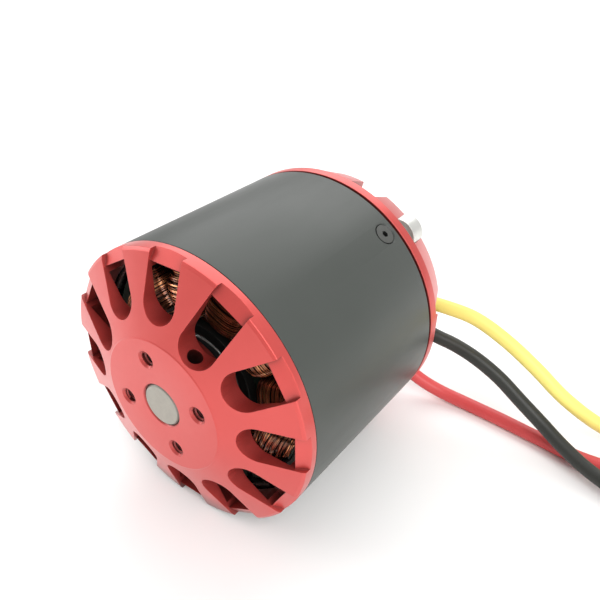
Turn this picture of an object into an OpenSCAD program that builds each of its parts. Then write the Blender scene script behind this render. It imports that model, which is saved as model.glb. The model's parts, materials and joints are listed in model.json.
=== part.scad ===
// Brushless outrunner motor, 80 mm class, lying on its side.
// The shaft axis is Y. The front bell faces -Y, the mounting face is the plane y = 0,
// and the can touches the table at z = -can_r. Millimetres.
// Stations named *_y are distances behind the front face of the hub.
// Angles are measured about the axis from +X towards +Z.

/* [Body] */
// Which piece to draw
// Outside diameter of the can
can_d = 80; // [60:1:100]
// Wall of the steel flux ring
can_wall = 2.5; // [2:0.1:4]
// Hub face to mounting face
body_len = 92; // [80:1:110]
// Shaft diameter
shaft_d = 12; // [8:1:15]

/* [Front bell] */
// Diameter of the flat hub disc
hub_disc_d = 38; // [30:1:44]
// Depth of the conical face at the outer crease
cone_depth = 6.95; // [4:0.05:9]
// Depth of the seam between bell and can
front_seam_y = 11.2; // [9:0.1:14]
// Depth of the back of the bell's hub boss
boss_back_y = 10.3; // [8:0.1:13]
// Depth of the back of the bell web, next to the boss
web_back_y = 6.9; // [6.5:0.1:9]
// Depth of the back of the bell web, next to the rim
web_rim_y = 7.2; // [7:0.1:10.5]
// Number of cooling slots in the bell
slot_count = 12; // [8:4:16]
// Width of a front slot
slot_w = 10.3; // [6:0.1:12]
// Radius of a slot's inner end
slot_tip_r = 23.4; // [21:0.1:28]
// Radius of the inner end of the two slots that reach the grub screws
grub_slot_tip_r = 20; // [18:0.1:22]
// Pitch circle of the threaded hub holes
hub_pcd = 26.4; // [20:0.1:32]
// Bore of a threaded hub hole (M4)
hub_hole_d = 3.4; // [2.5:0.1:5]

/* [Rear ring] */
// Depth of the seam between can and rear ring
rear_seam_y = 67.3; // [60:0.1:75]
// Depth where the rear cone and its slots begin
rear_band_y = 71; // [68:0.1:76]
// Depth of the rear end of the ring
rear_end_y = 80; // [76:0.1:84]
// Radius of the rear end of the cone
rear_end_r = 36.4; // [34:0.1:39]
// Width of a rear slot
rear_slot_w = 8.5; // [5:0.1:10]
// Depth of the countersunk screws in the can
screw_y = 62.6; // [60:0.1:65]

/* [Stator] */
// Outside diameter of the laminations
core_d = 68; // [60:0.5:72]
// Stack length of the laminations
core_len = 38; // [25:1:45]
// Number of wound teeth
teeth = 12; // [9:3:24]
// Angle of the first tooth
tooth_angle = 8; // [0:1:29]
// Number of magnets
magnet_count = 14; // [10:2:28]

/* [Mount] */
// Tip radius of a mount arm
arm_r = 30.4; // [28:0.1:38]
// Width of a mount arm
arm_w = 11; // [8:0.5:16]
// Thickness of the mount arms
arm_t = 5.5; // [4:0.5:8]
// Pitch circle of the mounting holes
mount_pcd = 50; // [44:1:60]
// Bore of a threaded mounting hole (M4)
mount_hole_d = 3.4; // [2.5:0.1:5]

/* [Leads] */
// Outside diameter of a lead's insulation
lead_d = 4.5; // [3:0.1:6]
// Diameter of a bullet connector's pin
bullet_d = 6; // [4:0.5:8]

/* [Hidden] */
eps = 0.02;                         // working clearance of a press seat
run = 0.1;                          // running clearance
slack = 0.05;                       // clearance of a loose part
over = 1;                           // how far a cutter passes a face
can_r = can_d / 2;
can_in = can_r - can_wall;
shaft_r = shaft_d / 2;
hub_r = hub_disc_d / 2;
seam = 0.05;                        // half of the visible seam
rear_gap = 0.35;                    // the ring stops this far before the rear seam
// front bell
hub_step = 0.3;                     // lip round the hub disc
bore_edge = 0.3;                    // broken edge of the shaft bore
boss_r = 17;                        // thick hub boss behind the disc
crease_r = can_r - 0.8;
rim_edge_y = cone_depth + 0.55;     // front edge of the rim cylinder
spigot_len = 3;
spigot_wall = 2;
floor_in_r = 36.8;                  // a slot's floor inside the rim: inner edge
floor_in_y = 7;
floor_out_y = 9.3;
floor_slope = (floor_out_y - floor_in_y) / (can_r - floor_in_r);
front_slots = [for (i = [0 : slot_count - 1]) i * 360 / slot_count];
grub_angles = [60, 150];
grub_y = 3.9;
grub_d = 4;
grub_flat_r = 5.6;                  // the screws bear on small flats
grub_len = 8;
grub_socket = 2;
hex_r = 1.15;                       // corner radius of the hexagon sockets
hub_angle = 15;
hub_sink_d = 5.2;
// shaft and what sits on it
shaft_front_y = 0.05;
shaft_back_y = 87.1;
shaft_chamfer = 0.5;
spacer_r = 8.4;
shim_r = 8.2;
clip_y = 84.6;
clip_t = 1;
clip_r = 8.6;
clip_gap = 5;                       // opening of the circlip
// rear ring
rear_spigot_y = 58.6;
rear_spigot_in = 34.8;
rear_slots = [for (q = [0 : 3], a = [6, 46, 71]) a + 90 * q];
rear_hub_r = 31.4;                  // wall round the skirt bearing
rear_web_y = 70.6;
rear_step = 0.15;                   // from the band's edge back to the slot floors
rear_lip = 0.7;                     // left round the spigot where a slot breaks through
screw_angle = 50;
screw_count = 4;
screw_hole_r = 1.5;
sink_r = 3.1;
sink_depth = 1.6;
sink_gap = 0.4;                     // dark ring left round a screw head
head_drop = 0.12;                   // the heads sit this far below the can's surface
hex_depth = 1.3;
// bearings: two 12 x 28 x 8 and one 45 x 58 x 7
brg_or = 14;
brg_w = 8;
front_brg_y = 15;
rear_brg_y = 76;
ball_pitch = 10;
ball_r = 2.2;
balls = 8;
shield_t = 0.4;
shield_in_r = 8.4;
skirt_ir = 22.5;
skirt_or = 29;
skirt_w = 7;
skirt_y = 72.6;
skirt_lip = 1.1;                    // shoulder behind the skirt bearing
skirt_ball_r = 1.55;
skirt_balls = 26;
skirt_pitch = (skirt_ir + skirt_or) / 2;
// stator
core_y = 18;
core_r = core_d / 2;
core_in_r = 17;
yoke_r = 20.2;
tooth_w = 6.4;
tip_t = 2;
tip_gap = 2.4;
insul_t = 1;
coil_in_r = 20.7;
coil_out_r = 30.9;
coil_in_w = 10.2;
coil_out_w = 15.2;
end_turn = 4.2;
magnet_y = 15;
magnet_len = 43;
magnet_in_r = 34.6;
magnet_arc = 23.2;
tube_r = core_in_r - 0.03;
tube_in_r = 12.5;
tube_y = 14.4;
boss_y = 62;
flange_y = skirt_y + skirt_w + 0.05;
flange_r = 23.1;                    // shoulder behind the skirt bearing
arm_y = body_len - arm_t;
arm_angle = 46;
// leads
lead_r = lead_d / 2;
lead_y = 83.6;                      // leads leave the mount here, between ring and arms
lead_angles = [0, -19, -46];        // yellow, black, red
channel_r = 2.6;
channel_at = 19.4;
sleeve_r = 2.75;
sleeve_bore = 2.35;
sleeve_from = 17.5;
sleeve_to = 27;
shrink_r = 3.8;
shrink_len = 16;
cup_r = 3.3;
bullet_len = 14;
table_z = -can_r;
end_z = table_z + shrink_r;
// Each route: points behind the hub face (x, depth, z); the last two set the connector's line.
route_yellow = [[18, 83.6, 0], [28, 83.6, 0], [37, 85.2, -0.5], [46, 86.8, -2], [56, 87.8, -6.5],
    [66, 88.8, -13], [76, 91, -21.5], [87, 96, -30], [98, 102, -35.5], [110, 107, end_z],
    [126, 111, end_z], [142, 115, end_z]];
route_black = [[17.02, 83.6, -5.86], [26.47, 83.6, -9.12], [34.5, 84.4, -11.6], [41, 85.8, -13.4],
    [48.5, 86.5, -16], [56.5, 86.8, -20], [64.5, 86.3, -25], [72, 85.5, -29.3], [80.5, 83.2, -32.9],
    [90, 80.6, -35.4], [102, 78, end_z], [120, 77, end_z], [138, 76, end_z]];
route_red = [[12.5, 83.6, -12.95], [19.45, 83.6, -20.14], [23.6, 84.3, -26], [28.5, 86.4, -32],
    [36, 88.8, -36.2], [46, 89.8, -37.7], [58, 89.2, -37.75], [72, 88, -37.75], [86, 87, -37.7],
    [102, 88, end_z], [120, 91, end_z], [138, 94, end_z]];
ring_step = 9.5;                    // spacing of the sections of a lead
lead_sides = 10;

function unit(v) = v / norm(v);
// A smooth curve through p1 and p2, with p0 and p3 as its neighbours, at t from 0 to 1.
function spline(p0, p1, p2, p3, t) = 0.5 * ((2 * p1) + (p2 - p0) * t
    + (2 * p0 - 5 * p1 + 4 * p2 - p3) * t * t + (3 * p1 - p0 - 3 * p2 + p3) * t * t * t);
function pick(p, i) = p[max(0, min(len(p) - 1, i))];
function smooth_route(p) = concat([for (i = [0 : len(p) - 2])
    let (n = max(1, round(norm(p[i + 1] - p[i]) / ring_step)))
    for (k = [0 : n - 1]) spline(pick(p, i - 1), p[i], p[i + 1], pick(p, i + 2), k / n)],
    [p[len(p) - 1]]);
function heading(p, i) = unit(pick(p, i + 1) - pick(p, i - 1));
function section(c, d, r) = let (a = unit(cross(d, [0, 1, 0])), b = cross(d, a))
    [for (k = [0 : lead_sides - 1]) c + r * (a * cos(k * 360 / lead_sides)
        + b * sin(k * 360 / lead_sides))];

// Turns a profile of [radius, depth] points about the motor axis.
module turned(profile) {
    translate([0, -body_len, 0]) rotate([-90, 0, 0])
        rotate_extrude($fn = 128) polygon(profile);
}
module ring(r0, r1, y0, y1) {
    turned([[r0, y0], [r1, y0], [r1, y1], [r0, y1]]);
}
module at_angle(a) {
    rotate([0, -a, 0]) children();
}
module radial_box(a, r0, r1, y0, y1, w) {
    at_angle(a) translate([r0, y0 - body_len, -w / 2]) cube([r1 - r0, y1 - y0, w]);
}
module radial_rod(a, r0, r1, y, r) {
    at_angle(a) translate([r0, y - body_len, 0]) rotate([0, 90, 0])
        cylinder(h = r1 - r0, r = r, $fn = 48);
}
module axial_rod(a, at, y0, y1, r) {
    at_angle(a) translate([at, y0 - body_len, 0]) rotate([-90, 0, 0])
        cylinder(h = y1 - y0, r = r, $fn = 48);
}
module axial_sink(a, at, y0, r0, r1) {
    at_angle(a) translate([at, y0 - body_len, 0]) rotate([-90, 0, 0])
        cylinder(h = abs(r0 - r1), r1 = r0, r2 = r1, $fn = 48);
}
module radial_sink(a, r_top, r0, depth, r1) {
    at_angle(a) translate([r_top - depth, screw_y - body_len, 0]) rotate([0, 90, 0])
        cylinder(h = depth, r1 = r1, r2 = r0, $fn = 48);
}

// Red bell: hub disc, cone, rim, twelve slots, four tapped holes, two grub screw holes.
module front_bell() {
    color([0.86, 0.2, 0.2]) difference() {
        turned([[shaft_r + eps, bore_edge], [shaft_r + bore_edge, 0], [hub_r, 0],
            [hub_r + hub_step, hub_step], [crease_r, cone_depth], [can_r, rim_edge_y],
            [can_r, front_seam_y - seam], [can_in - eps, front_seam_y - seam],
            [can_in - eps, front_seam_y + spigot_len],
            [can_in - spigot_wall, front_seam_y + spigot_len], [can_in - spigot_wall, web_rim_y],
            [boss_r, web_back_y], [boss_r, boss_back_y], [shaft_r + eps, boss_back_y]]);
        for (a = front_slots) {
            tip = (search(a, grub_angles) == []) ? slot_tip_r : grub_slot_tip_r;
            radial_box(a, tip + slot_w / 2, floor_in_r, -over, front_seam_y - seam, slot_w);
            axial_rod(a, tip + slot_w / 2, -over, web_rim_y + over, slot_w / 2);
        }
        intersection() {
            turned([[floor_in_r - 1, -over], [can_r + 2, -over],
                [can_r + 2, floor_out_y + 2 * floor_slope],
                [floor_in_r - 1, floor_in_y - floor_slope]]);
            for (a = front_slots)
                radial_box(a, floor_in_r - 0.5, can_r + 2, -over, front_seam_y, slot_w);
        }
        for (k = [0 : 3]) {
            axial_rod(hub_angle + 90 * k, hub_pcd / 2, -over, boss_back_y + over, hub_hole_d / 2);
            axial_sink(hub_angle + 90 * k, hub_pcd / 2, 0, hub_sink_d / 2, hub_hole_d / 2);
        }
        for (a = grub_angles) radial_rod(a, 0, grub_slot_tip_r + over, grub_y, grub_d / 2 + eps);
    }
}

// Black steel ring that carries the magnets.
module flux_ring() {
    color([0.2, 0.21, 0.2]) difference() {
        ring(can_in, can_r, front_seam_y + seam, rear_seam_y - rear_gap);
        for (k = [0 : screw_count - 1]) {
            radial_rod(screw_angle + 90 * k, can_in - over, can_r + over, screw_y,
                screw_hole_r + run);
            radial_sink(screw_angle + 90 * k, can_r + run, sink_r + sink_gap, sink_depth + run,
                screw_hole_r + run);
        }
    }
}

// Fourteen arc magnets glued inside the flux ring.
module magnets() {
    color([0.7, 0.7, 0.72]) for (i = [0 : magnet_count - 1])
        rotate([0, -i * 360 / magnet_count, 0])
            translate([0, magnet_y - body_len, 0]) rotate([-90, 0, 0])
                rotate_extrude(angle = magnet_arc, $fn = 128)
                    translate([magnet_in_r, 0]) square([can_in - eps - magnet_in_r, magnet_len]);
}

// Red rear ring: spigot, band, slotted cone and the seat of the skirt bearing.
module rear_ring() {
    color([0.86, 0.2, 0.2]) difference() {
        turned([[rear_spigot_in, rear_spigot_y], [can_in - eps, rear_spigot_y],
            [can_in - eps, rear_seam_y + seam], [can_r, rear_seam_y + seam],
            [can_r, rear_band_y], [rear_end_r, rear_end_y], [skirt_or + eps, rear_end_y],
            [skirt_or + eps, skirt_y], [skirt_or - skirt_lip, skirt_y],
            [skirt_or - skirt_lip, rear_web_y], [rear_hub_r + skirt_lip / 4, rear_web_y],
            [rear_spigot_in, rear_seam_y + seam]]);
        for (a = rear_slots) {
            radial_box(a, rear_hub_r, can_r + over, rear_band_y + rear_step, rear_end_y + over,
                rear_slot_w);
            radial_box(a, rear_hub_r, rear_spigot_in - rear_lip, rear_seam_y - over,
                rear_band_y + over, rear_slot_w);
        }
        for (k = [0 : screw_count - 1])
            radial_rod(screw_angle + 90 * k, rear_spigot_in - over, can_in + over, screw_y,
                screw_hole_r);
    }
}

// Countersunk socket screws that hold the can to the rear ring.
module ring_screws() {
    color([0.12, 0.12, 0.12]) for (k = [0 : screw_count - 1]) difference() {
        union() {
            radial_sink(screw_angle + 90 * k, can_r - head_drop, sink_r - run, sink_depth - run,
                screw_hole_r - slack);
            radial_rod(screw_angle + 90 * k, rear_spigot_in + run, can_r - sink_depth, screw_y,
                screw_hole_r - slack);
        }
        at_angle(screw_angle + 90 * k) translate([can_r - hex_depth, screw_y - body_len, 0])
            rotate([0, 90, 0]) cylinder(h = hex_depth + over, r = hex_r, $fn = 6);
    }
}

// Grub screws that lock the bell to the shaft.
module hub_grub_screws() {
    color([0.14, 0.14, 0.15]) for (a = grub_angles) difference() {
        radial_rod(a, grub_flat_r + slack, grub_flat_r + grub_len, grub_y, grub_d / 2 - eps);
        at_angle(a) translate([grub_flat_r + grub_len - grub_socket, grub_y - body_len, 0])
            rotate([0, 90, 0]) cylinder(h = grub_socket + over, r = hex_r, $fn = 6);
    }
}

// Hardened shaft: flush with the hub disc in front, grooved for the circlip behind.
module shaft() {
    color([0.72, 0.72, 0.7]) difference() {
        turned([[0, shaft_front_y], [shaft_r - shaft_chamfer, shaft_front_y],
            [shaft_r, shaft_front_y + shaft_chamfer], [shaft_r, clip_y - slack],
            [grub_flat_r, clip_y - slack], [grub_flat_r, clip_y + clip_t + slack],
            [shaft_r, clip_y + clip_t + slack], [shaft_r, shaft_back_y - shaft_chamfer],
            [shaft_r - shaft_chamfer, shaft_back_y], [0, shaft_back_y]]);
        for (a = grub_angles) radial_rod(a, grub_flat_r, shaft_r + over, grub_y, grub_d / 2);
    }
}

module shaft_spacer() {
    color([0.7, 0.7, 0.68])
        ring(shaft_r + eps, spacer_r, boss_back_y + eps, front_brg_y - eps);
}
module shim_washer() {
    color([0.75, 0.72, 0.6])
        ring(shaft_r + eps, shim_r, rear_brg_y + brg_w + eps, clip_y - run);
}
module circlip() {
    color([0.2, 0.2, 0.22]) difference() {
        ring(grub_flat_r + eps, clip_r, clip_y, clip_y + clip_t);
        radial_box(90, 0, clip_r + over, clip_y - over, clip_y + clip_t + over, clip_gap);
    }
}

// Two small deep-groove bearings: rotating inner races, fixed outer races with shields.
module inner_races() {
    color([0.75, 0.75, 0.74]) for (y = [front_brg_y, rear_brg_y])
        ring(shaft_r + eps, ball_pitch - ball_r - run, y, y + brg_w);
}
module outer_races() {
    color([0.68, 0.68, 0.68]) for (y = [front_brg_y, rear_brg_y])
        turned([[ball_pitch + ball_r + run, y + shield_t],
            [shield_in_r, y + shield_t], [shield_in_r, y],
            [brg_or, y], [brg_or, y + brg_w], [shield_in_r, y + brg_w],
            [shield_in_r, y + brg_w - shield_t],
            [ball_pitch + ball_r + run, y + brg_w - shield_t]]);
}
// Balls in their cages: these creep round at a fraction of the rotor's speed.
module ball_ring(pitch, r, n, y, t) {
    difference() {
        ring(pitch - 0.5, pitch + 0.5, y - r - t, y + r + t);
        for (i = [0 : n - 1]) radial_rod(i * 360 / n, pitch - 2, pitch + 2, y, r + 0.05);
    }
    for (i = [0 : n - 1]) at_angle(i * 360 / n) translate([pitch, y - body_len, 0])
        sphere(r = r, $fn = 32);
}
module ball_sets() {
    color([0.7, 0.7, 0.7]) for (y = [front_brg_y, rear_brg_y])
        ball_ring(ball_pitch, ball_r, balls, y + brg_w / 2, 0.5);
}
module skirt_inner_race() {
    color([0.75, 0.75, 0.74])
        ring(skirt_ir + eps, skirt_pitch - skirt_ball_r - run, skirt_y, skirt_y + skirt_w);
}
module skirt_outer_race() {
    color([0.72, 0.72, 0.72])
        ring(skirt_pitch + skirt_ball_r + run, skirt_or, skirt_y, skirt_y + skirt_w);
}
module skirt_ball_set() {
    color([0.7, 0.7, 0.7])
        ball_ring(skirt_pitch, skirt_ball_r, skirt_balls, skirt_y + skirt_w / 2, 0.4);
}

// Fixed mount: bearing tube, boss with three lead channels, flange and four arms.
module stator_mount() {
    color([0.76, 0.76, 0.74]) difference() {
        union() {
            turned([[tube_in_r, front_brg_y + brg_w + 0.1], [brg_or + eps, front_brg_y + brg_w + 0.1],
                [brg_or + eps, tube_y], [tube_r, tube_y], [tube_r, boss_y], [skirt_ir, boss_y],
                [skirt_ir, flange_y], [flange_r, flange_y], [flange_r, body_len],
                [brg_or + eps, body_len], [brg_or + eps, rear_brg_y - 0.1],
                [tube_in_r, rear_brg_y - 0.1]]);
            for (k = [0 : 3]) {
                radial_box(arm_angle + 90 * k, flange_r - 4, arm_r - arm_w / 2, arm_y, body_len,
                    arm_w);
                axial_rod(arm_angle + 90 * k, arm_r - arm_w / 2, arm_y, body_len, arm_w / 2);
            }
        }
        for (k = [0 : 3])
            axial_rod(arm_angle + 90 * k, mount_pcd / 2, arm_y - over, body_len + over,
                mount_hole_d / 2);
        for (a = lead_angles) {
            axial_rod(a, channel_at, boss_y - over, lead_y, channel_r);
            radial_rod(a, sleeve_from - 0.5, flange_r + over, lead_y, sleeve_r + 0.05);
        }
    }
}

// One sheet outline of the laminations, shared by the stack and its end insulators.
module core_outline() {
    difference() {
        union() {
            circle(r = yoke_r, $fn = 96);
            for (i = [0 : teeth - 1]) rotate(i * 360 / teeth)
                translate([yoke_r - 1, -tooth_w / 2]) square([core_r - yoke_r, tooth_w]);
            difference() {
                circle(r = core_r, $fn = 128);
                circle(r = core_r - tip_t, $fn = 128);
                for (i = [0 : teeth - 1]) rotate((i + 0.5) * 360 / teeth)
                    translate([core_r - tip_t - 1, -tip_gap / 2]) square([tip_t + 2, tip_gap]);
            }
        }
        circle(r = core_in_r, $fn = 96);
    }
}
module core_slab(y0, y1) {
    at_angle(tooth_angle) translate([0, y0 - body_len, 0]) rotate([-90, 0, 0])
        linear_extrude(y1 - y0) core_outline();
}
module stator_core() {
    color([0.32, 0.33, 0.35]) core_slab(core_y, core_y + core_len);
}
module front_insulator() {
    color([0.12, 0.3, 0.18]) core_slab(core_y - insul_t, core_y - 0.01);
}
module rear_insulator() {
    color([0.12, 0.3, 0.18]) core_slab(core_y + core_len + 0.01, core_y + core_len + insul_t);
}

// One coil: a closed loop round a tooth, wider outside than inside.
module coil(i) {
    angle = tooth_angle + i * 360 / teeth;
    core_from = core_y - insul_t - 0.05;
    core_to = core_y + core_len + insul_t + 0.05;
    difference() {
        at_angle(angle) translate([0, core_from - end_turn - body_len, 0])
            rotate([-90, 0, 0]) linear_extrude(core_to - core_from + 2 * end_turn)
                polygon([[coil_in_r, -coil_in_w / 2], [coil_out_r, -coil_out_w / 2],
                    [coil_out_r, coil_out_w / 2], [coil_in_r, coil_in_w / 2]]);
        radial_box(angle, coil_in_r - over, coil_out_r + over, core_from, core_to,
            tooth_w + 0.1);
    }
}
module phase_coils(first) {
    color([0.5, 0.24, 0.12]) for (i = [first, first + 1, first + 6, first + 7])
        coil(i % teeth);
}
module phase_a_coils() { phase_coils(0); }
module phase_b_coils() { phase_coils(2); }
module phase_c_coils() { phase_coils(4); }

// Woven sleeves that line the three lead windows.
module lead_sleeves() {
    color([0.1, 0.1, 0.1]) for (a = lead_angles) difference() {
        radial_rod(a, sleeve_from, sleeve_to, lead_y, sleeve_r);
        radial_rod(a, sleeve_from - over, sleeve_to + over, lead_y, sleeve_bore);
    }
}

// A lead: one closed tube swept along its route.
module lead(route) {
    path = smooth_route([for (p = route) p - [0, body_len, 0]]);
    n = len(path);
    points = [for (i = [0 : n - 1]) each section(path[i], heading(path, i), lead_r)];
    polyhedron(points, concat(
        [[for (k = [0 : lead_sides - 1]) k]],
        [for (i = [0 : n - 2], k = [0 : lead_sides - 1]) let (m = (k + 1) % lead_sides)
            [i * lead_sides + m, i * lead_sides + k, (i + 1) * lead_sides + k,
            (i + 1) * lead_sides + m]],
        [[for (k = [lead_sides - 1 : -1 : 0]) (n - 1) * lead_sides + k]]));
}
module lead_yellow() { color([0.85, 0.75, 0.2]) lead(route_yellow); }
module lead_black() { color([0.08, 0.08, 0.08]) lead(route_black); }
module lead_red() { color([0.8, 0.1, 0.1]) lead(route_red); }

// Places its children at the end of a route, with +X running on along the lead.
module at_end(route) {
    last = route[len(route) - 1];
    d = last - route[len(route) - 2];
    translate(last - [0, body_len, 0]) rotate([0, 0, atan2(d[1], d[0])]) children();
}
// Heat shrink over the solder joint: it starts on the lead and ends on the connector's cup.
module shrink(route) {
    at_end(route) rotate([0, 90, 0]) difference() {
        translate([0, 0, -shrink_len / 2]) cylinder(h = shrink_len, r = shrink_r, $fn = 32);
        translate([0, 0, -shrink_len / 2 - over])
            cylinder(h = shrink_len / 2 + over + 0.02, r = lead_r + 0.05, $fn = 32);
        translate([0, 0, 0.01]) cylinder(h = shrink_len, r = cup_r + 0.05, $fn = 32);
    }
}
module shrink_yellow() { color([0.08, 0.08, 0.08]) shrink(route_yellow); }
module shrink_black() { color([0.08, 0.08, 0.08]) shrink(route_black); }
module shrink_red() { color([0.08, 0.08, 0.08]) shrink(route_red); }
// Bullet connector: solder cup inside the heat shrink, then the plated pin.
module bullet(route) {
    at_end(route) rotate([0, 90, 0]) {
        translate([0, 0, 0.05]) cylinder(h = shrink_len / 2 + 1, r = cup_r, $fn = 32);
        translate([0, 0, shrink_len / 2 + 1]) cylinder(h = bullet_len, r = bullet_d / 2, $fn = 32);
    }
}
module bullet_yellow() { color([0.8, 0.62, 0.25]) bullet(route_yellow); }
module bullet_black() { color([0.8, 0.62, 0.25]) bullet(route_black); }
module bullet_red() { color([0.8, 0.62, 0.25]) bullet(route_red); }

front_bell();
flux_ring();
magnets();
rear_ring();
ring_screws();
hub_grub_screws();
shaft();
shaft_spacer();
shim_washer();
circlip();
inner_races();
outer_races();
ball_sets();
skirt_inner_race();
skirt_outer_race();
skirt_ball_set();
stator_mount();
stator_core();
front_insulator();
rear_insulator();
phase_a_coils();
phase_b_coils();
phase_c_coils();
lead_sleeves();
lead_yellow();
lead_black();
lead_red();
shrink_yellow();
shrink_black();
shrink_red();
bullet_yellow();
bullet_black();
bullet_red();
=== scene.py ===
# Brushless outrunner motor lying on a white table.
# The helpers work in millimetres: x, depth behind the hub face, z. Angles run from +X to +Z.
import json
import math
import random

import bmesh
import bpy
import numpy as np
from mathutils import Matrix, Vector


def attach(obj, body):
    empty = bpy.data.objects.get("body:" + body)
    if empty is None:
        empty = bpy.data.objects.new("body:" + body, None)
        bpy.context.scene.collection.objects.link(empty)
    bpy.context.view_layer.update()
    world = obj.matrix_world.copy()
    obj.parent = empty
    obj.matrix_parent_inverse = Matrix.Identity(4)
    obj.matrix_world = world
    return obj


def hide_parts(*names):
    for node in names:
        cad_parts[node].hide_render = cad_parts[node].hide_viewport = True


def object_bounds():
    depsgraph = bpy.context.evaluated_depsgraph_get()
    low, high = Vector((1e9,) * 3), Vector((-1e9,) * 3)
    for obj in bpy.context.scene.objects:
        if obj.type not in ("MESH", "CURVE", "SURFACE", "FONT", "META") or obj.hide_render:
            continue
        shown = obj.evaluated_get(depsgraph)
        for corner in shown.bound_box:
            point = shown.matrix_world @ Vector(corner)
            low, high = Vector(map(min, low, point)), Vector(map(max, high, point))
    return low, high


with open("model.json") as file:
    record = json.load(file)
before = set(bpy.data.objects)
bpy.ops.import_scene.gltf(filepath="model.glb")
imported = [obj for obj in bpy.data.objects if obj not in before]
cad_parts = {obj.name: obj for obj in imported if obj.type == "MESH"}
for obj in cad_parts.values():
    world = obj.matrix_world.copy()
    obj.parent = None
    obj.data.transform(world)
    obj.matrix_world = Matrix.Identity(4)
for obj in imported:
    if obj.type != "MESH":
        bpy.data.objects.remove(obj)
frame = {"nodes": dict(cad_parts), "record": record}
cad_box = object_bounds()
rng = random.Random(7)

# ---------------------------------------------------------------- sizes, mm and degrees
MM = 0.001
BODY = round(-cad_box[0][1] / MM, 2)    # hub face to mounting face
CAN = round(cad_box[1][2] / MM, 2)      # outer radius of the can
CAN_IN = 37.5                           # inner radius of the can
SPIGOT = 37.48                          # radius of the two ends that go into the can
CAN_FRONT, CAN_BACK = 11.25, 66.95

BORE = 6.02                             # the bell's bore for the shaft
SLOTS = [30 * k for k in range(12)]
SLOT_W = 10.3
SLOT_TIP, GRUB_SLOT_TIP = 23.4, 20.0    # radius of the slots' round inner ends
RIM_FLOOR = ((36.3, 6.64), (42.0, 10.74))   # sloping floor of a slot in the rim: radius, depth
CREASE = (39.2, 6.95)                   # where the cone meets the rim: radius, depth
SEAM_F = 11.15                          # the bell's rear face at the can
BOSS_R, BOSS = 17.0, 10.3               # the thick hub: radius, depth of its rear face
WEB, WEB_RIM = 6.9, 7.2                 # rear face of the web, at the hub and at the rim
GRUBS, GRUB_Y = (60, 150), 3.9          # angles and depth of the grub screw holes
HUB_HOLES, HUB_HOLE_R = [15 + 90 * k for k in range(4)], 13.2
M4, M4_PITCH, THREAD_DEPTH = 1.98, 0.7, 0.38

SCREW_Y = 62.6                          # the screws through the can
SCREW_A = [50 + 90 * k for k in range(4)]
SEAM_R, GROOVE, BAND = 67.35, 67.95, 71.0   # the rear ring's seam, dark groove and cylinder
REAR_END, REAR_END_R = 80.0, 36.4
REAR_WEB = 70.6                         # front face of the rear ring's web
SKIRT_R, SKIRT_Y = 29.02, 72.6          # seat of the skirt bearing
REAR_HUB = 31.4                         # the wall round that seat
REAR_SLOTS = [a + 90 * q for q in range(4) for a in (6, 46, 71)]

BEARINGS, BEARING_W = (15.0, 76.0), 8   # front faces of the shaft's bearings
TEETH, FIRST_TOOTH = 12, 8
CORE_FRONT, CORE_BACK = 17, 57          # ends of the insulated stack, under the turns
WIRE_R, WIRE_PITCH = 0.26, 0.56
LEAD_D = 4.5
LEAD_LIE = 3.8 - CAN                    # height of a connector's axis as it lies on the table


def place(p):
    """A point (x, depth, z) in millimetres as metres in the frame."""
    return Vector((p[0] * MM, (p[1] - BODY) * MM, p[2] * MM))


def add(name, data):
    """A new object in the scene."""
    obj = bpy.data.objects.new(name, data)
    bpy.context.collection.objects.link(obj)
    return obj


# ---------------------------------------------------------------- camera
def add_camera(where, along, lens):
    cam = add("camera", bpy.data.cameras.new("camera"))
    cam.data.lens = lens
    cam.data.sensor_width = 36.0
    cam.data.clip_start = 0.005
    cam.location = where
    cam.rotation_euler = Vector(along).to_track_quat("-Z", "Y").to_euler()
    bpy.context.scene.camera = cam


add_camera((0.1033, -0.1725, 0.1105), (-0.5056, 0.6796, -0.5315), 39.63)
bpy.context.scene.view_settings.view_transform = "Standard"


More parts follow.
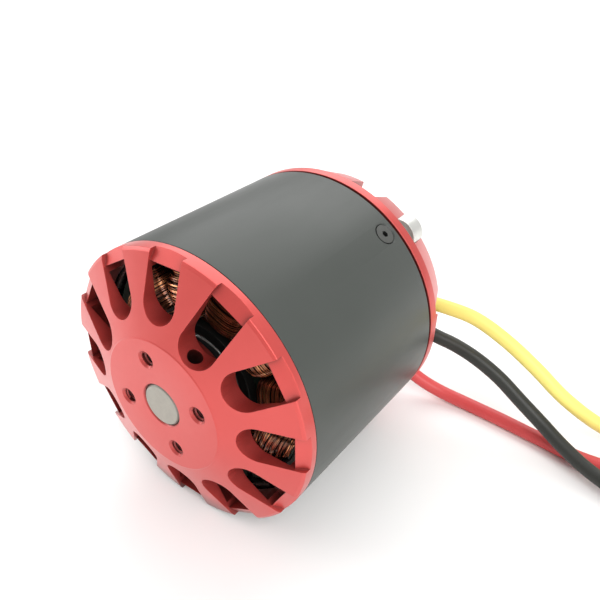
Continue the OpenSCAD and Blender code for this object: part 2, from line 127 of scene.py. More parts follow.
# ---------------------------------------------------------------- materials
class Mat:
    """A node material with short calls for the usual nodes."""

    def __init__(self, name):
        self.mat = bpy.data.materials.new(name)
        self.mat.use_nodes = True
        self.tree = self.mat.node_tree
        self.bsdf = self.tree.nodes["Principled BSDF"]
        self.coords = self.node("TexCoord").outputs["Object"]

    def node(self, kind):
        return self.tree.nodes.new("ShaderNode" + kind)

    def link(self, source, target):
        self.tree.links.new(source, target)

    def set(self, **values):
        """Constants on the shader's own sockets."""
        for name, value in values.items():
            self.bsdf.inputs[name.replace("_", " ")].default_value = value

    def stretched(self, scale):
        """Coordinates scaled unevenly, for smears that run one way."""
        mapping = self.node("Mapping")
        mapping.inputs["Scale"].default_value = scale
        self.link(self.coords, mapping.inputs["Vector"])
        return mapping.outputs["Vector"]

    def noise(self, scale, detail=3.0, rough=0.5, vector=None):
        noise = self.node("TexNoise")
        noise.inputs["Scale"].default_value = scale
        noise.inputs["Detail"].default_value = detail
        noise.inputs["Roughness"].default_value = rough
        self.link(self.coords if vector is None else vector, noise.inputs["Vector"])
        return noise.outputs["Fac"]

    def depth(self):
        """Place along the shaft axis."""
        split = self.node("SeparateXYZ")
        self.link(self.coords, split.inputs["Vector"])
        return split.outputs["Y"]

    def turned(self):
        """Coordinates that change only with distance from the axis, for lathe marks."""
        flat = self.node("VectorMath")
        flat.operation = "MULTIPLY"
        flat.inputs[1].default_value = (1, 0, 1)
        self.link(self.coords, flat.inputs[0])
        length = self.node("VectorMath")
        length.operation = "LENGTH"
        self.link(flat.outputs["Vector"], length.inputs[0])
        combine = self.node("CombineXYZ")
        self.link(length.outputs["Value"], combine.inputs["X"])
        return combine.outputs["Vector"]

    def calc(self, operation, a, b, clamp=False):
        node = self.node("Math")
        node.operation = operation
        node.use_clamp = clamp
        for socket, value in zip(node.inputs, (a, b)):
            if isinstance(value, (int, float)):
                socket.default_value = value
            else:
                self.link(value, socket)
        return node.outputs[0]

    def ramp(self, fac, stops):
        node = self.node("ValToRGB")
        elements = node.color_ramp.elements
        while len(elements) < len(stops):
            elements.new(0.5)
        for element, (position, color) in zip(elements, stops):
            element.position = position
            element.color = (*color, 1)
        self.link(fac, node.inputs["Fac"])
        return node.outputs["Color"]

    def mix(self, fac, a, b):
        """From colour a to colour b; each is a tuple or a socket."""
        node = self.node("Mix")
        node.data_type = "RGBA"
        self.link(fac, node.inputs[0])
        for i, value in ((6, a), (7, b)):
            if isinstance(value, tuple):
                node.inputs[i].default_value = (*value, 1)
            else:
                self.link(value, node.inputs[i])
        return node.outputs[2]

    def painted_shade(self, base, shade_color, reach, power):
        """The base colour, going to the shade colour in holes and corners by ambient occlusion:
        painted shade.
        """
        node = self.node("AmbientOcclusion")
        node.samples = 8
        node.inputs["Distance"].default_value = reach
        return self.mix(self.calc("POWER", node.outputs["AO"], power), shade_color, base)

    def color(self, socket):
        self.link(socket, self.bsdf.inputs["Base Color"])

    def rough(self, fac, low, high):
        node = self.node("MapRange")
        node.inputs["To Min"].default_value = low
        node.inputs["To Max"].default_value = high
        self.link(fac, node.inputs["Value"])
        self.link(node.outputs["Result"], self.bsdf.inputs["Roughness"])

    def bump(self, height, strength, distance, edge=0.0):
        """Bump from a height; edge is the radius to which sharp edges look rounded."""
        node = self.node("Bump")
        node.inputs["Strength"].default_value = strength
        node.inputs["Distance"].default_value = distance
        self.link(height, node.inputs["Height"])
        if edge:
            bevel = self.node("Bevel")
            bevel.samples = 4
            bevel.inputs["Radius"].default_value = edge
            self.link(bevel.outputs["Normal"], node.inputs["Normal"])
        self.link(node.outputs["Normal"], self.bsdf.inputs["Normal"])


def red_anodised():
    m = Mat("red_anodised")
    m.set(Metallic=0.72, IOR=1.5, Coat_Weight=0.7, Coat_Roughness=0.30, Coat_IOR=1.55)
    base = m.mix(m.noise(60, 4), (0.60, 0.060, 0.052), (0.67, 0.075, 0.065))
    # Painted shade: the red goes to near black in slots, holes and corners.
    m.color(m.painted_shade(base, (0.040, 0.010, 0.007), 0.009, 1.5))
    m.rough(m.noise(500, 3), 0.42, 0.52)
    lathe_marks = m.noise(2200, 1, 0.5, m.turned())
    grain = m.calc("MULTIPLY", m.noise(2600, 2), 0.6)
    m.bump(m.calc("ADD", grain, lathe_marks), 0.10, 0.00005, 0.00025)
    return m.mat


def black_can():
    """Dark coated steel with faint smears, a few pale specks, and painted shade in its holes and
    creases.
    """
    m = Mat("black_can")
    m.set(IOR=1.42)
    base = m.mix(m.noise(30, 4), (0.050, 0.056, 0.050), (0.063, 0.069, 0.063))
    specks = m.calc("GREATER_THAN", m.noise(620, 1), 0.845)
    dusty = m.mix(m.calc("MULTIPLY", specks, 0.4), base, (0.55, 0.56, 0.52))
    # Painted shade in the screws' countersinks and other creases.
    m.color(m.painted_shade(dusty, (0.004, 0.004, 0.004), 0.0012, 1.6))
    m.rough(m.noise(1.0, 4, 0.6, m.stretched((260, 60, 260))), 0.34, 0.46)
    m.bump(m.noise(1500, 2), 0.06, 0.00005, 0.00015)
    return m.mat


def turned_metal(name, color, rough, turned_scale, edge=0.0001, metallic=1.0, mottle=120,
                 inside=0.06, shade_by_depth=False):
    """Turned metal; inside is what is left of its colour where shade is painted: in holes and
    corners, or, by depth, deep in the motor.
    """
    m = Mat(name)
    m.set(Metallic=metallic)
    dark = tuple(c * 0.78 for c in color)
    shade_color = tuple(c * inside for c in color)
    base = m.mix(m.noise(mottle, 5, 0.65), dark, color)
    if shade_by_depth:
        # Painted shade deep in the motor: from the shade colour to the base over 3.3 mm, starting 75
        # mm before the mounting face.
        m.color(m.mix(m.calc("ADD", m.calc("MULTIPLY", m.depth(), 300), 22.5, True), shade_color, base))
    else:
        # Painted shade in holes and corners.
        m.color(m.painted_shade(base, shade_color, 0.012, 1.4))
    lathe_marks = m.noise(turned_scale, 2, 0.5, m.turned())
    grain = m.calc("MULTIPLY", m.noise(3000, 2), 0.4)
    m.rough(m.noise(700, 3), *rough)
    m.bump(m.calc("ADD", lathe_marks, grain), 0.12, 0.00005, edge)
    return m.mat


def laminations():
    m = Mat("lamination_steel")
    m.set(Metallic=0.8)
    sheets = m.node("TexWave")
    sheets.bands_direction = "Y"
    sheets.inputs["Scale"].default_value = 300
    m.link(m.coords, sheets.inputs["Vector"])
    m.color(m.mix(m.noise(200, 4), (0.10, 0.10, 0.11), (0.22, 0.22, 0.23)))
    m.rough(m.noise(900, 3), 0.4, 0.6)
    m.bump(sheets.outputs["Fac"], 0.5, 0.0001)
    return m.mat


def copper():
    """Each wire has its own tone, the palest partly a painted glint, and the enamel glints; painted
    shade between the wires.
    """
    m = Mat("enamelled_copper")
    m.set(Metallic=0.85, Coat_Weight=0.5, Coat_Roughness=0.14)
    wire = m.node("NewGeometry").outputs["Random Per Island"]
    tone = m.calc("ADD", m.calc("MULTIPLY", wire, 0.55),
                  m.calc("MULTIPLY", m.noise(160, 3, 0.6), 0.45))
    # The palest stop is partly a painted glint on a few wires, partly the wires' own tone.
    base = m.ramp(tone, [(0.20, (0.10, 0.030, 0.016)), (0.45, (0.30, 0.10, 0.045)),
                         (0.62, (0.50, 0.19, 0.085)), (0.80, (0.90, 0.40, 0.16))])
    # Painted shade between and under the wires.
    m.color(m.painted_shade(base, (0.02, 0.008, 0.006), 0.002, 1.5))
    m.rough(m.noise(1200, 2), 0.24, 0.40)
    m.bump(m.noise(3500, 2), 0.15, 0.00004)
    return m.mat


def plastic(name, color, rough, edge=0.0001, grain=1500, shade=0.75):
    """Plastic or silicone; shade is the tone of its darker patches."""
    m = Mat(name)
    m.set(IOR=1.45)
    dark = tuple(c * shade for c in color)
    m.color(m.mix(m.noise(90, 4), dark, color))
    m.rough(m.noise(grain * 0.5, 3), rough - 0.06, rough + 0.08)
    m.bump(m.noise(grain, 3), 0.12, 0.00006, edge)
    return m.mat


MATS = {
    "red_anodised": red_anodised(),
    "black_can": black_can(),
    "magnet_nickel": turned_metal("magnet_nickel", (0.62, 0.62, 0.60), (0.22, 0.34), 400, 0.0002),
    "black_screw": turned_metal("black_screw", (0.072, 0.074, 0.068), (0.42, 0.55), 900,
                                metallic=0.0),
    "shaft_steel": turned_metal("shaft_steel", (0.45, 0.43, 0.38), (0.42, 0.58), 2600, 0.0003,
                                metallic=0.85, mottle=520),
    "bearing_steel": turned_metal("bearing_steel", (0.86, 0.86, 0.83), (0.18, 0.30), 1200,
                                  metallic=0.7, inside=0.7),
    "bare_aluminium": turned_metal("bare_aluminium", (0.80, 0.80, 0.76), (0.32, 0.46), 1500, 0.0003,
                                   metallic=0.8, shade_by_depth=True),
    "lamination_steel": laminations(),
    "green_insulator": plastic("green_insulator", (0.012, 0.026, 0.016), 0.45, grain=1800),
    "enamelled_copper": copper(),
    "black_sleeve": plastic("black_sleeve", (0.022, 0.022, 0.023), 0.42, 0.0002, 1200),
    "yellow_silicone": plastic("yellow_silicone", (0.92, 0.78, 0.20), 0.40, shade=0.92),
    "black_silicone": plastic("black_silicone", (0.030, 0.031, 0.026), 0.44),
    "red_silicone": plastic("red_silicone", (0.66, 0.075, 0.075), 0.42, shade=0.90),
    "gold_plate": turned_metal("gold_plate", (0.86, 0.58, 0.20), (0.16, 0.28), 900),
}
for subpart in frame["record"]["subparts"]:
    materials = frame["nodes"][subpart["node"]].data.materials
    materials.clear()
    materials.append(MATS[subpart["material_slot"]])


# ---------------------------------------------------------------- mesh helpers
def dress(obj, slot, body, angle=35.0, replaces=()):
    """Material, smooth shading with edges sharp beyond the angle, and a body to ride on."""
    obj.data.materials.clear()
    obj.data.materials.append(MATS[slot])
    for polygon in obj.data.polygons:
        polygon.use_smooth = True
    obj.data.set_sharp_from_angle(angle=math.radians(angle))
    if replaces:
        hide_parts(*replaces)
    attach(obj, body)
    return obj


def piece(name, verts, faces, slot, body, angle=35.0, replaces=()):
    """A new piece from points already in metres."""
    mesh = bpy.data.meshes.new(name)
    mesh.from_pydata([tuple(v) for v in verts], [], faces)
    mesh.validate()
    return dress(add(name, mesh), slot, body, angle, replaces)


def revolve(profile, point, n):
    """A closed outline of (radius, distance) points turned in n steps; point places each one."""
    verts, faces, k = [], [], len(profile)
    for i in range(n):
        verts += [point(r, y, 2 * math.pi * i / n) for r, y in profile]
    for i in range(n):
        j = (i + 1) % n
        for m in range(k):
            q = (m + 1) % k
            faces.append((i * k + m, i * k + q, j * k + q, j * k + m))
    return verts, faces


def lathe(profile, n=180, start=0.0):
    """A closed (radius, depth) outline turned about the shaft axis, in metres."""
    def point(r, y, a):
        return place((r * math.cos(start + a), y, r * math.sin(start + a)))
    return revolve(profile, point, n)


def round_profile(points, radius=0.25, steps=3):
    """The outline with its corners rounded: each point may carry its own radius."""
    out, n = [], len(points)
    for i in range(n):
        corner = Vector(points[i][:2])
        r = points[i][2] if len(points[i]) > 2 else radius
        back, on = Vector(points[i - 1][:2]) - corner, Vector(points[(i + 1) % n][:2]) - corner
        turn = math.pi - back.angle(on)
        cut = min(r * math.tan(turn / 2), back.length * 0.45, on.length * 0.45)
        if r <= 0 or turn < 0.05 or cut < 0.01:
            out.append(tuple(corner))
            continue
        start, end = corner + back.normalized() * cut, corner + on.normalized() * cut
        for k in range(steps + 1):
            t = k / steps
            out.append(tuple((1 - t) ** 2 * start + 2 * t * (1 - t) * corner + t * t * end))
    return out


def prism_faces(n):
    """Faces of a solid between two rings of n points."""
    sides = [(i, (i + 1) % n, n + (i + 1) % n, n + i) for i in range(n)]
    return [tuple(range(n - 1, -1, -1)), tuple(range(n, 2 * n))] + sides


def extrude(outline, y0, y1):
    """A prism along the axis from an outline of (x, t) points."""
    return [(x, y, t) for y in (y0, y1) for x, t in outline], prism_faces(len(outline))


def rod(p0, p1, r0, r1=None, n=40):
    """A cylinder, or a cone where r1 is given, between two points (x, depth, z)."""
    a, b = Vector(p0), Vector(p1)
    axis = (b - a).normalized()
    u = axis.orthogonal().normalized()
    w = axis.cross(u)
    verts = []
    for centre, r in ((a, r0), (b, r0 if r1 is None else r1)):
        for i in range(n):
            turn = 2 * math.pi * i / n
            verts.append(tuple(centre + r * (u * math.cos(turn) + w * math.sin(turn))))
    return verts, prism_faces(n)


def spun(shape, angle):
    """A shape of (x, depth, t) points turned about the shaft axis."""
    c, s = math.cos(math.radians(angle)), math.sin(math.radians(angle))
    return [(x * c - t * s, y, x * s + t * c) for x, y, t in shape[0]], shape[1]


def joined(shapes):
    """Several shapes as one."""
    verts, faces = [], []
    for some_verts, some_faces in shapes:
        faces += [tuple(i + len(verts) for i in face) for face in some_faces]
        verts += list(some_verts)
    return verts, faces


def placed(shape):
    """A shape in millimetres as one in metres."""
    return [place(p) for p in shape[0]], shape[1]


def closed_object(name, verts, faces):
    """An object with all its faces pointing out."""
    mesh = bpy.data.meshes.new(name)
    mesh.from_pydata([tuple(v) for v in verts], [], faces)
    work = bmesh.new()
    work.from_mesh(mesh)
    bmesh.ops.recalc_face_normals(work, faces=work.faces)
    work.to_mesh(mesh)
    work.free()
    return add(name, mesh)


def carve(name, shape, groups):
    """The shape with each group of cutters taken away. Cutters in one group don't overlap."""
    obj = closed_object("carved", *shape)
    cutters = []
    for group in groups:
        cutter = closed_object("cutter", *placed(joined(group)))
        cut = obj.modifiers.new("cut", "BOOLEAN")
        cut.operation = "DIFFERENCE"
        cut.solver = "EXACT"
        cut.object = cutter
        cutters.append(cutter)
    view = bpy.context.evaluated_depsgraph_get()
    done = bpy.data.meshes.new_from_object(obj.evaluated_get(view))
    obj.modifiers.clear()
    obj.data = done
    obj.name = name
    for cutter in cutters:
        bpy.data.objects.remove(cutter)
    return obj


def sweep(path, radius, sides=8, closed=False):
    """A tube of metres along a path of metres, with parallel-carried sections."""
    p = np.asarray(path, dtype=float)
    n = len(p)
    along = np.roll(p, -1, 0) - np.roll(p, 1, 0) if closed else np.gradient(p, axis=0)
    along /= np.linalg.norm(along, axis=1)[:, None]
    u = np.cross(along[0], (0.31, 0.74, 0.59))
    verts = []
    for i in range(n):
        u = u - along[i] * (u @ along[i])
        u /= np.linalg.norm(u)
        w = np.cross(along[i], u)
        for k in range(sides):
            a = 2 * math.pi * k / sides
            verts.append(tuple(p[i] + radius * (u * math.cos(a) + w * math.sin(a))))
    faces = []
    for i in range(n if closed else n - 1):
        j = (i + 1) % n
        for k in range(sides):
            m = (k + 1) % sides
            faces.append((i * sides + k, i * sides + m, j * sides + m, j * sides + k))
    if not closed:
        last = (n - 1) * sides
        faces += [tuple(range(sides - 1, -1, -1)), tuple(last + k for k in range(sides))]
    return verts, faces


# ---------------------------------------------------------------- leads
# The routes of the leads, as in the part's source: x, depth, z.
ROUTES = {
    "yellow": [(18, 83.6, 0), (28, 83.6, 0), (37, 85.2, -0.5), (46, 86.8, -2), (56, 87.8, -6.5),
               (66, 88.8, -13), (76, 91, -21.5), (87, 96, -30), (98, 102, -35.5),
               (110, 107, LEAD_LIE), (126, 111, LEAD_LIE), (142, 115, LEAD_LIE)],
    "black": [(17.02, 83.6, -5.86), (26.47, 83.6, -9.12), (34.5, 84.4, -11.6), (41, 85.8, -13.4),
              (48.5, 86.5, -16), (56.5, 86.8, -20), (64.5, 86.3, -25), (72, 85.5, -29.3),
              (80.5, 83.2, -32.9), (90, 80.6, -35.4), (102, 78, LEAD_LIE), (120, 77, LEAD_LIE),
              (138, 76, LEAD_LIE)],
    "red": [(12.5, 83.6, -12.95), (19.45, 83.6, -20.14), (23.6, 84.3, -26), (28.5, 86.4, -32),
            (36, 88.8, -36.2), (46, 89.8, -37.7), (58, 89.2, -37.75), (72, 88, -37.75),
            (86, 87, -37.7), (102, 88, LEAD_LIE), (120, 91, LEAD_LIE), (138, 94, LEAD_LIE)],
}
# Outlines (radius, distance past the lead's end). Heat shrink: drawn down at both ends, with the
# hollow that the wire and the cup go into. Bullet: cup, shoulder, sprung barrel, rounded nose.
SHRINK = [(2.36, -7.95), (2.75, -7.95), (2.95, -6.6), (3.35, -4.2), (3.62, -2.0), (3.76, 0.0),
          (3.72, 3.0), (3.76, 6.0), (3.66, 7.6), (3.5, 7.95), (3.36, 7.95), (3.36, 0.1), (2.36, 0.0)]
BULLET = [(0.01, 0.1), (3.3, 0.1), (3.3, 8.6), (3.15, 8.9), (2.35, 9.0), (2.35, 9.8), (2.6, 10.2),
          (2.75, 11.4), (2.92, 13.5), (2.98, 15.5), (2.92, 17.5), (2.75, 19.4), (2.6, 20.4),
          (2.3, 20.8), (2.2, 22.2), (1.7, 22.85), (0.01, 22.95)]


def smooth_route(points, step=2.0):
    """A smooth curve through the route's points, in metres."""
    p = [place(q) for q in points]
    out = []
    for i in range(len(p) - 1):
        a, b, c, d = p[max(i - 1, 0)], p[i], p[i + 1], p[min(i + 2, len(p) - 1)]
        n = max(2, round((c - b).length / (step * MM)))
        for k in range(n):
            t = k / n
            out.append(0.5 * ((2 * b) + (c - a) * t + (2 * a - 5 * b + 4 * c - d) * t * t
                              + (3 * b - a - 3 * c + d) * t ** 3))
    return out + [p[-1]]


def past_end(lead, profile):
    """A closed (radius, distance) outline turned about the lead's last line, in metres."""
    before, end = place(ROUTES[lead][-2]), place(ROUTES[lead][-1])
    ahead = (end - before).normalized()
    up = Vector((0, 0, 1))
    side = ahead.cross(up)

    def point(r, distance, a):
        return end + ahead * (distance * MM) + (side * math.cos(a) + up * math.sin(a)) * (r * MM)
    return revolve(profile, point, 48)


def build_lead(lead):
    """The wire with its heat shrink and bullet."""
    path = smooth_route(ROUTES[lead])
    curve = bpy.data.curves.new("lead_" + lead + "_wire", "CURVE")
    curve.dimensions = "3D"
    curve.bevel_depth = (LEAD_D / 2 - 0.02) * MM
    curve.bevel_resolution = 6
    curve.use_fill_caps = True
    spline = curve.splines.new("POLY")
    spline.points.add(len(path) - 1)
    for target, p in zip(spline.points, path):
        target.co = (*p, 1)
    curve.materials.append(MATS[lead + "_silicone"])
    wire = add("lead_" + lead + "_wire", curve)
    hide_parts("lead_" + lead)
    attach(wire, "stator")
    shrink = piece("shrink_" + lead + "_tube", *past_end(lead, SHRINK), "black_sleeve", "stator", 50,
                   ["shrink_" + lead])
    plug = piece("bullet_" + lead + "_pin", *past_end(lead, BULLET), "gold_plate", "stator", 35,
                 ["bullet_" + lead])
    length = sum((b - a).length for a, b in zip(path, path[1:]))
    tuple(path[0])


for lead in ROUTES:
    build_lead(lead)


# ---------------------------------------------------------------- front bell
def slot_outline(tip):
    """A slot's round inner end and straight sides, out to the rim."""
    r = SLOT_W / 2
    arc = [(tip + r + r * math.cos(a), r * math.sin(a))
           for a in np.linspace(math.pi / 2, 3 * math.pi / 2, 25)]
    return [(36.8, r)] + arc + [(36.8, -r)]


def rim_cut():
    """A slot where it runs out through the rim, with its sloping floor."""
    r = SLOT_W / 2 + 0.01
    verts = [(x, y, t) for x, floor in RIM_FLOOR
             for y, t in ((-1.0, -r), (floor, -r), (floor, r), (-1.0, r))]
    return verts, prism_faces(4)


def thread(start, length, outer, steps=24):
    """The turns of an M4 thread along the shaft's direction, as a helical ridge."""
    axis = Vector((0, 1, 0))
    u = axis.orthogonal().normalized()
    w = axis.cross(u)
    crest = outer - THREAD_DEPTH
    section = ((outer, 0.0), (crest, 0.30), (crest, 0.38), (outer, M4_PITCH))
    verts, faces = [], []
    count = int(length / M4_PITCH) * steps
    for i in range(count + 1):
        turn = 2 * math.pi * i / steps
        out = u * math.cos(turn) + w * math.sin(turn)
        centre = Vector(start) + axis * (M4_PITCH * i / steps)
        verts += [tuple(centre + axis * y + out * r) for r, y in section]
    for i in range(count):
        here, ahead = i * 4, (i + 1) * 4
        faces += [(here + m, here + m + 1, ahead + m + 1, ahead + m) for m in range(3)]
        faces.append((here + 3, here, ahead, ahead + 3))
    return verts, faces


def build_front_bell():
    body = lathe(round_profile([
        (BORE, 0.5, 0), (6.4, 0.0, 0.1), (19.0, 0.05, 0.6), (19.3, 0.25, 0.4), (*CREASE, 0.5),
        (CAN, 7.5, 0.3), (CAN, SEAM_F, 0.2), (SPIGOT, SEAM_F, 0), (SPIGOT, 14.2, 0.2),
        (35.5, 14.2, 0.2), (35.5, WEB_RIM, 0.3), (BOSS_R, WEB, 0.3), (BOSS_R, BOSS, 0.3),
        (BORE, BOSS, 0)], 0.2, 4), 240, 0.011)
    through = [spun(extrude(slot_outline(GRUB_SLOT_TIP if a in GRUBS else SLOT_TIP),
                            -1.5, SEAM_F - 0.02), a) for a in SLOTS]
    rims = [spun(rim_cut(), a) for a in SLOTS]
    holes = [spun(rod((HUB_HOLE_R, -1.0, 0), (HUB_HOLE_R, 11.0, 0), M4), a) for a in HUB_HOLES]
    sinks = [spun(rod((HUB_HOLE_R, -0.5, 0), (HUB_HOLE_R, 0.9, 0), 3.1, 1.7), a)
             for a in HUB_HOLES]
    grubs = [spun(rod((4.0, GRUB_Y, 0), (22.0, GRUB_Y, 0), M4), a) for a in GRUBS]
    bell = carve("front_bell_turned", body, [through, rims, holes, sinks, grubs])
    dress(bell, "red_anodised", "rotor", 28, ["front_bell"])
    threads = [spun(thread((HUB_HOLE_R, 0.8, 0), 8.6, 2.0), a) for a in HUB_HOLES]
    piece("bell_threads", *placed(joined(threads)), "red_anodised", "rotor", 20)


# ---------------------------------------------------------------- can and rear ring
def build_can():
    body = lathe(round_profile([(CAN_IN, CAN_FRONT, 0), (CAN, CAN_FRONT, 0.22),
                                (CAN, CAN_BACK, 0.3), (CAN_IN, CAN_BACK, 0)], 0.15, 3), 288, 0.004)
    holes = [spun(rod((36.5, SCREW_Y, 0), (41.0, SCREW_Y, 0), 1.6), a) for a in SCREW_A]
    sinks = [spun(rod((38.3, SCREW_Y, 0), (40.6, SCREW_Y, 0), 1.65, 4.1), a) for a in SCREW_A]
    dress(carve("can_tube", body, [holes, sinks]), "black_can", "rotor", 30, ["flux_ring"])


def build_rear_ring():
    body = lathe(round_profile([
        (34.8, 58.6, 0.2), (SPIGOT, 58.6, 0.2), (SPIGOT, SEAM_R, 0), (39.0, SEAM_R, 0.1),
        (39.1, GROOVE, 0.1), (CAN, GROOVE, 0.2), (CAN, BAND, 0.2), (REAR_END_R, REAR_END, 0.3),
        (SKIRT_R, REAR_END, 0.2), (SKIRT_R, SKIRT_Y, 0), (27.9, SKIRT_Y, 0.1), (27.9, REAR_WEB, 0.2),
        (REAR_HUB + 0.2, REAR_WEB, 0.3), (34.8, SEAM_R, 0.3)], 0.2, 3), 240, 0.011)
    half = 4.25
    outer = [(REAR_HUB, half), (REAR_HUB, -half), (42, -half), (42, half)]
    inner = [(REAR_HUB, half), (REAR_HUB, -half), (34.1, -half), (34.1, half)]
    slots = [spun(extrude(outer, BAND, 81), a) for a in REAR_SLOTS]
    vents = [spun(extrude(inner, 66.3, 72), a) for a in REAR_SLOTS]
    holes = [spun(rod((33, SCREW_Y, 0), (39, SCREW_Y, 0), 1.5), a) for a in SCREW_A]
    dress(carve("rear_ring_turned", body, [slots, vents, holes]), "red_anodised", "rotor", 28,
          ["rear_ring"])


def build_screws():
    """Countersunk heads with a rolled edge and a hexagon socket, and their shanks."""
    profile = round_profile([(0.0, 35.2, 0), (1.45, 35.2, 0.2), (1.45, 38.1, 0), (2.9, 39.55, 0.25),
                             (2.85, 39.82, 0.2), (0.95, 39.84, 0.1), (0.0, 39.84, 0)], 0.1, 3)
    verts, faces, n, k = [], [], 48, len(profile)
    for i in range(n):
        turn = 2 * math.pi * i / n
        j = (i + 1) % n
        verts += [(h, SCREW_Y + r * math.cos(turn), r * math.sin(turn)) for r, h in profile]
        faces += [(i * k + m, i * k + m + 1, j * k + m + 1, j * k + m) for m in range(k - 1)]
    screws = joined([spun((verts, faces), a) for a in SCREW_A])
    sockets = [spun(rod((38.6, SCREW_Y, 0), (41, SCREW_Y, 0), 1.0, n=6), a) for a in SCREW_A]
    dress(carve("can_screws", placed(screws), [sockets]), "black_screw", "rotor", 30,
          ["ring_screws"])


# ---------------------------------------------------------------- bearings
def build_bearings():
    """Outer races with rounded edges, and dark seals set a little below their faces."""
    races, seals = [], []
    for y in BEARINGS:
        back = y + BEARING_W
        races.append(lathe(round_profile([
            (12.1, y + 0.1, 0.05), (12.15, y, 0.1), (12.6, y, 0.2), (12.7, y + 0.3, 0.05),
            (13.6, y + 0.3, 0.1), (14.0, y + 0.7, 0.1), (14.0, back, 0.35), (12.3, back, 0.3)],
            0.3, 3), 144))
        for front, rear in ((y + 0.25, y + 0.5), (back - 0.5, back - 0.25)):
            seals.append(lathe(round_profile([
                (8.4, front, 0.1), (10.2, front - 0.05, 0.5), (12.08, front, 0.1),
                (12.08, rear, 0), (8.4, rear, 0)], 0.05, 3), 144))
    piece("bearing_races", *joined(races), "bearing_steel", "stator", 35, ["outer_races"])
    piece("bearing_seals", *joined(seals), "black_sleeve", "stator", 35)


build_front_bell()
build_can()
build_rear_ring()
build_screws()
build_bearings()


# ---------------------------------------------------------------- windings
def turn_path(r, half, rise, lean, bow, slide):
    """One closed turn of wire round a tooth along +X: an arch over each end, straight sides."""
    inner = max(r, 20.9)
    steps = 14
    path = []

    def arch(y0, out, order):
        for k in order:
            u = -1 + 2 * k / steps
            fall = (1 - abs(u) ** 2.6) ** (1 / 2.6) if abs(u) < 1 else 0.0
            top = 1 - u * u
            x = inner + (r - inner) * top + (lean + bow * u) * top
            path.append((x, y0 + out * rise * fall, half * u + 0.25 * slide * top))

    arch(CORE_FRONT - 0.1, -1, range(steps + 1))
    for k in range(1, 4):
        path.append((inner, CORE_FRONT + 10 * k, half))
    arch(CORE_BACK + 0.1, 1, range(steps, -1, -1))
    for k in range(3, 0, -1):
        path.append((inner, CORE_FRONT + 10 * k, -half))
    return path


def coil_strands(tooth):
    """The turns of one coil: wires side by side in layers, each laid a little unevenly."""
    shapes = []
    for layer in range(5):
        rows = 21 - 2 * layer
        for row in range(rows):
            r = (19.6 + 0.28 * layer + WIRE_PITCH * row + 0.27 * (layer % 2)
                 + rng.uniform(-0.10, 0.10))
            room = r * math.tan(math.pi / TEETH) - 0.35
            half = min(3.7 + 0.56 * layer, room, math.sqrt(max(31.4 ** 2 - r * r, 16.0)))
            rise = (0.9 + 0.62 * layer + 0.5 * math.sin(math.pi * row / rows)
                    + rng.uniform(-0.1, 0.2))
            lean, bow, slide = (rng.uniform(-0.45, 0.45) for _ in range(3))
            path = turn_path(r, half, rise, lean, bow, slide)
            points, _ = spun((path, []), FIRST_TOOTH + tooth * 360 / TEETH)
            shapes.append(sweep([place(p) for p in points], WIRE_R * MM, 5, closed=True))
    return shapes


def liner(tooth):
    """The dark paper under the turns of a coil: a wall on each side and a cap on each end."""
    face, wall, near, far = 3.5, 3.28, 20.4, 31.5
    parts = []
    for s in (-1, 1):
        side = [(near, s * wall), (far, s * wall), (far, s * face), (near, s * face)]
        parts.append(extrude(side[::s], 16.4, 57.6))
    for y0, y1 in ((16.2, 16.9), (57.1, 57.8)):
        parts.append(extrude([(near, -face), (far, -face), (far, face), (near, face)], y0, y1))
    return placed(spun(joined(parts), FIRST_TOOTH + tooth * 360 / TEETH))


def jumper(start, end, r, y):
    """A wire that runs round the inside of the windings from one coil to the next."""
    path = []
    steps, ends_r, ends_y = 24, 22.2, 17.0
    for k in range(steps + 1):
        t = k / steps
        lift = math.sin(math.pi * t)
        a = math.radians(start + (end - start) * t)
        at = ends_r - (ends_r - r) * min(1.0, 4 * lift)
        depth = ends_y - (ends_y - y) * min(1.0, 3 * lift)
        path.append(place((at * math.cos(a), depth, at * math.sin(a))))
    return sweep(path, WIRE_R * MM, 6)


liners = []
for phase, letter in enumerate("abc"):
    first = 2 * phase
    strands = [jumper(first * 30 + 16, first * 30 + 210, 17.6 + 0.6 * k, 16.5 - 0.6 * phase - 0.1 * k)
               for k in range(3)]
    for tooth in (first, first + 1, first + 6, first + 7):
        strands += coil_strands(tooth)
        liners.append(liner(tooth))
    piece("coils_" + letter, *joined(strands), "enamelled_copper", "stator", 40,
          ["phase_" + letter + "_coils"])
piece("slot_liners", *joined(liners), "green_insulator", "stator", 30)


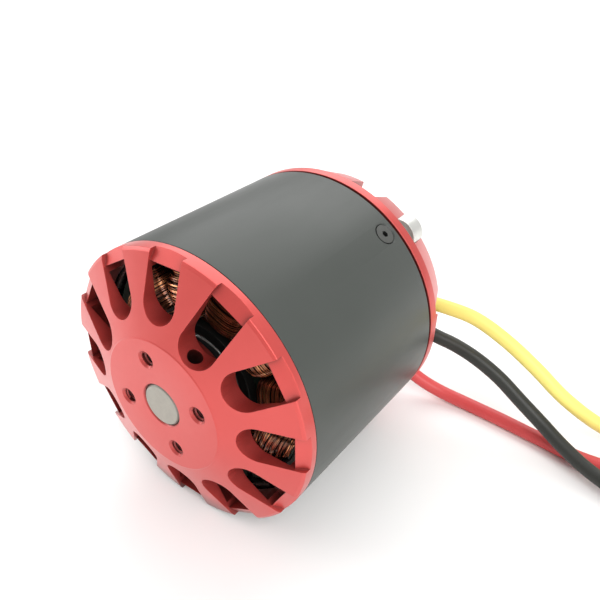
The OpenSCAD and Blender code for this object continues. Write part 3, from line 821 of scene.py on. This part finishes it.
# ---------------------------------------------------------------- table and light
def lay_table():
    m = Mat("table")
    m.set(IOR=1.45, Specular_IOR_Level=0.3)
    m.color(m.mix(m.noise(9, 3), (0.93, 0.92, 0.91), (0.95, 0.945, 0.94)))
    m.rough(m.noise(40, 2), 0.45, 0.55)
    mesh = bpy.data.meshes.new("table_top")
    mesh.from_pydata([(-3, -3, -0.04), (3, -3, -0.04), (3, 3, -0.04), (-3, 3, -0.04)], [],
                     [(0, 1, 2, 3)])
    mesh.materials.append(m.mat)
    add("table_top", mesh)


def light_room():
    """A pale room, brighter above and behind the motor's left side."""
    world = bpy.data.worlds.new("studio")
    bpy.context.scene.world = world
    world.use_nodes = True
    tree = world.node_tree
    sky = tree.nodes["Background"]
    sky.inputs["Strength"].default_value = 0.80
    towards = tree.nodes.new("ShaderNodeVectorMath")
    towards.operation = "DOT_PRODUCT"
    towards.inputs[1].default_value = (-0.45, 0.65, 0.60)
    direction = tree.nodes.new("ShaderNodeTexCoord").outputs["Generated"]
    tree.links.new(direction, towards.inputs[0])
    fade = tree.nodes.new("ShaderNodeMapRange")
    for socket, value in (("From Min", -0.9), ("From Max", 0.5), ("To Min", 0.42), ("To Max", 0.9)):
        fade.inputs[socket].default_value = value
    tree.links.new(towards.outputs["Value"], fade.inputs["Value"])
    tree.links.new(fade.outputs["Result"], sky.inputs["Color"])


def soft_light(name, where, size, power):
    """A rectangular light that looks at the middle of the motor."""
    light = bpy.data.lights.new(name, "AREA")
    light.shape = "RECTANGLE"
    light.size, light.size_y = size
    light.energy = power
    lamp = add(name, light)
    lamp.location = where
    aim = Vector((0, -0.05, 0)) - Vector(where)
    lamp.rotation_euler = aim.to_track_quat("-Z", "Y").to_euler()


lay_table()
light_room()
soft_light("key", (0.75, -0.55, 0.85), (0.7, 0.7), 7.5)
soft_light("left", (-0.9, -0.4, 0.4), (0.6, 0.5), 3.2)
soft_light("right", (0.95, -0.42, 0.32), (0.4, 0.4), 3.6)
soft_light("window", (-0.4, 0.75, 0.95), (1.5, 1.2), 10.0)
